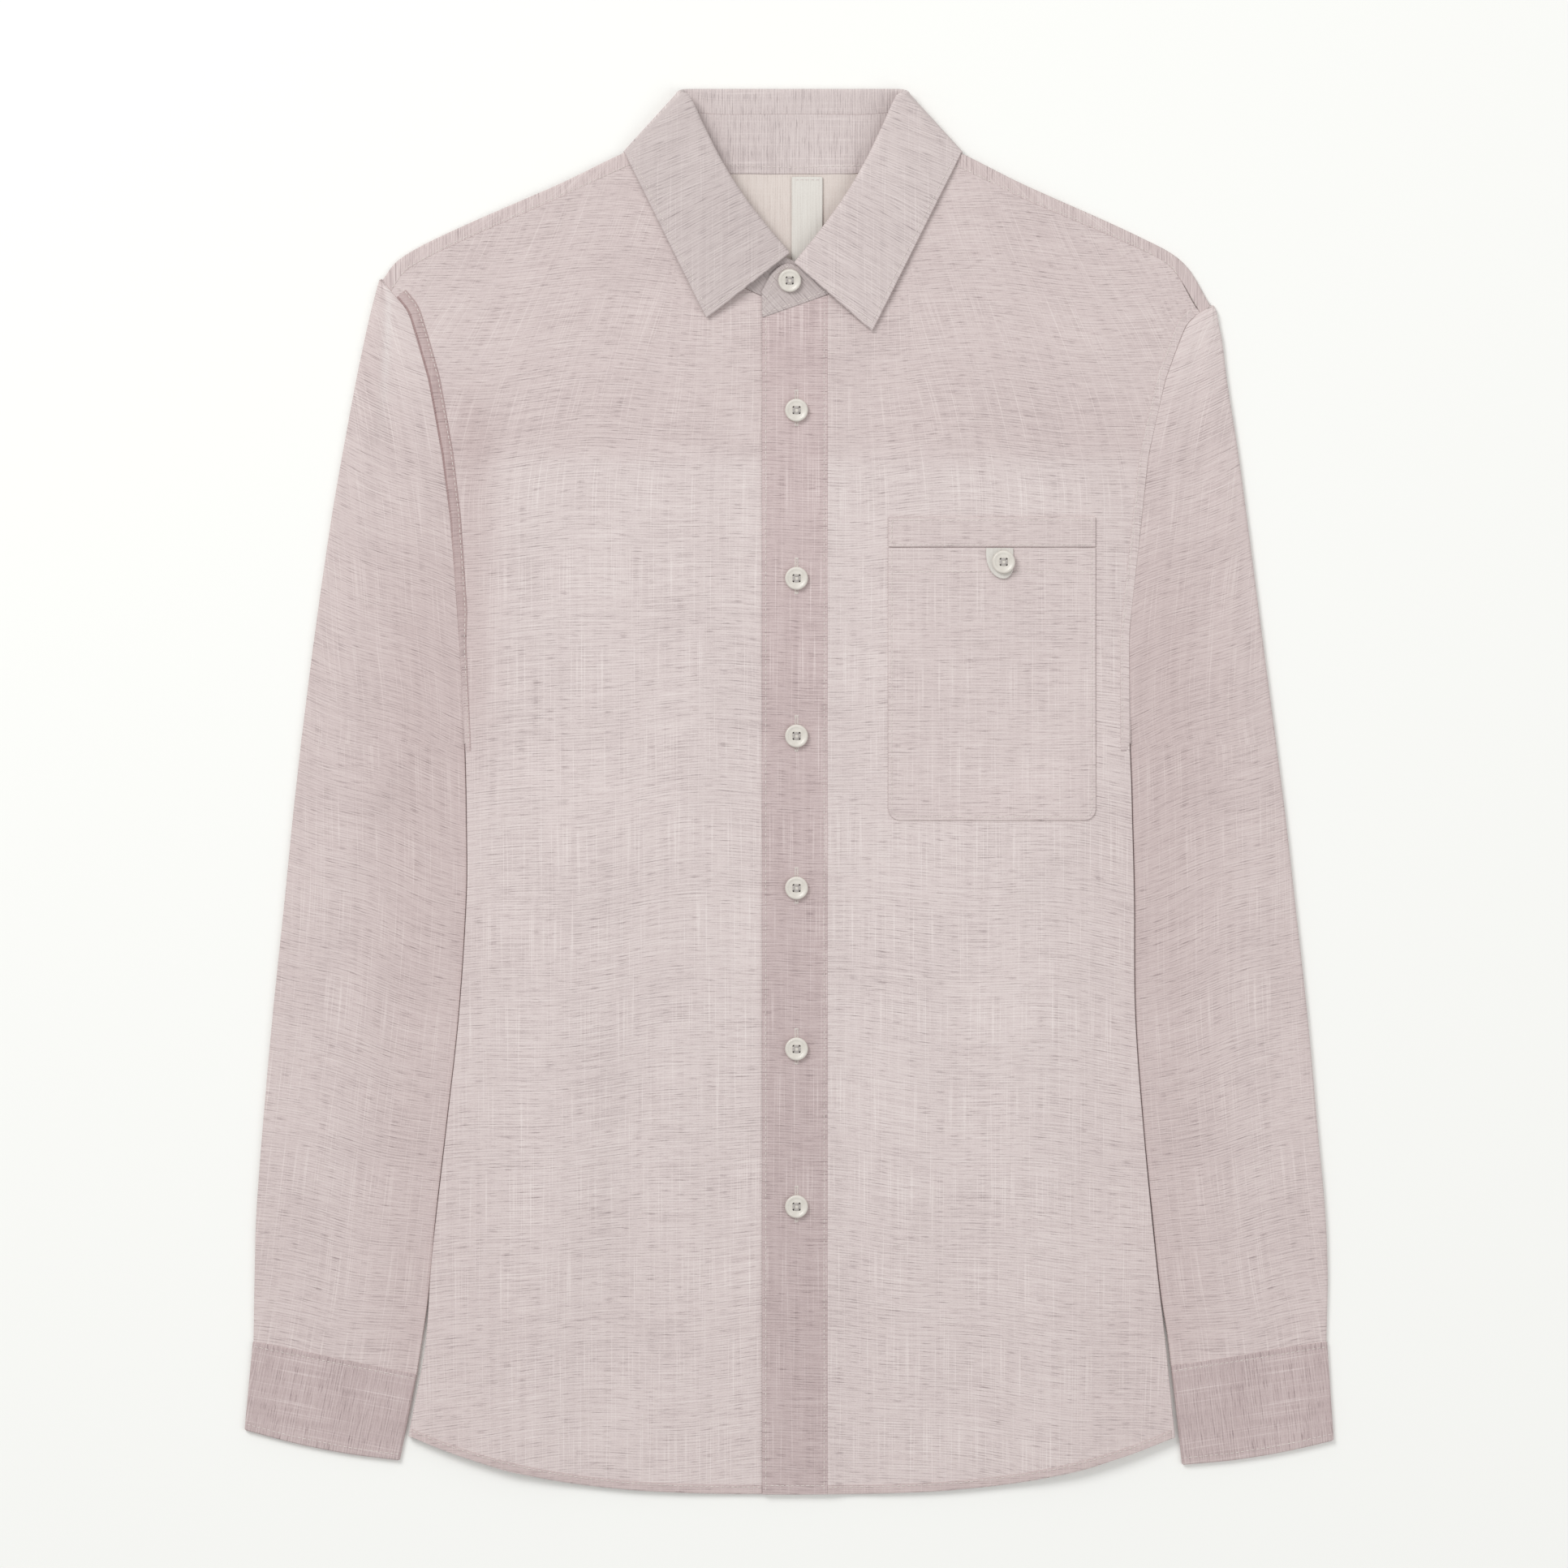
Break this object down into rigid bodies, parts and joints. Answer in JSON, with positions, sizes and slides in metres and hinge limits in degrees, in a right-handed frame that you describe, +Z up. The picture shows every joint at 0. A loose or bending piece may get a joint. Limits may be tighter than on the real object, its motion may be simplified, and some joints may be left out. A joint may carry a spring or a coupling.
{
  "type": "long-sleeve shirt",
  "caption": "Linen long-sleeve shirt laid flat and buttoned, with a pointed collar, front placket, chest pocket, curved hem and barrel cuffs.",
  "frame": {"origin": "on the surface that the shirt lies on, under the back, midway between the body's sides and midway between collar and hem", "axes": "+Z up off the surface, +Y from hem to collar, +X to the viewer's right, which is the wearer's left"},
  "size_m": [0.6038, 0.7786, 0.0142],
  "materials": {
    "linen": "slub linen, one layer, matt",
    "doubled_linen": "slub linen, doubled and pressed, matt",
    "yoke_linen": "slub linen, cream inside",
    "tape": "plain woven tape",
    "button": "satin ivory resin"
  },
  "bodies": {
    "root": {"right_front": "linen", "left_front": "linen", "back": "linen", "yoke": "yoke_linen", "right_sleeve": "linen", "left_sleeve": "linen", "right_cuff": "doubled_linen", "left_cuff": "doubled_linen", "placket": "doubled_linen", "collar_stand": "doubled_linen", "collar_leaf": "doubled_linen", "pocket": "linen", "pocket_band": "doubled_linen", "pocket_tab": "tape", "neck_label": "tape", "front_button_1": "button", "front_button_2": "button", "front_button_3": "button", "front_button_4": "button", "front_button_5": "button", "front_button_6": "button", "collar_button": "button", "pocket_button": "button"}
  },
  "joints": []
}
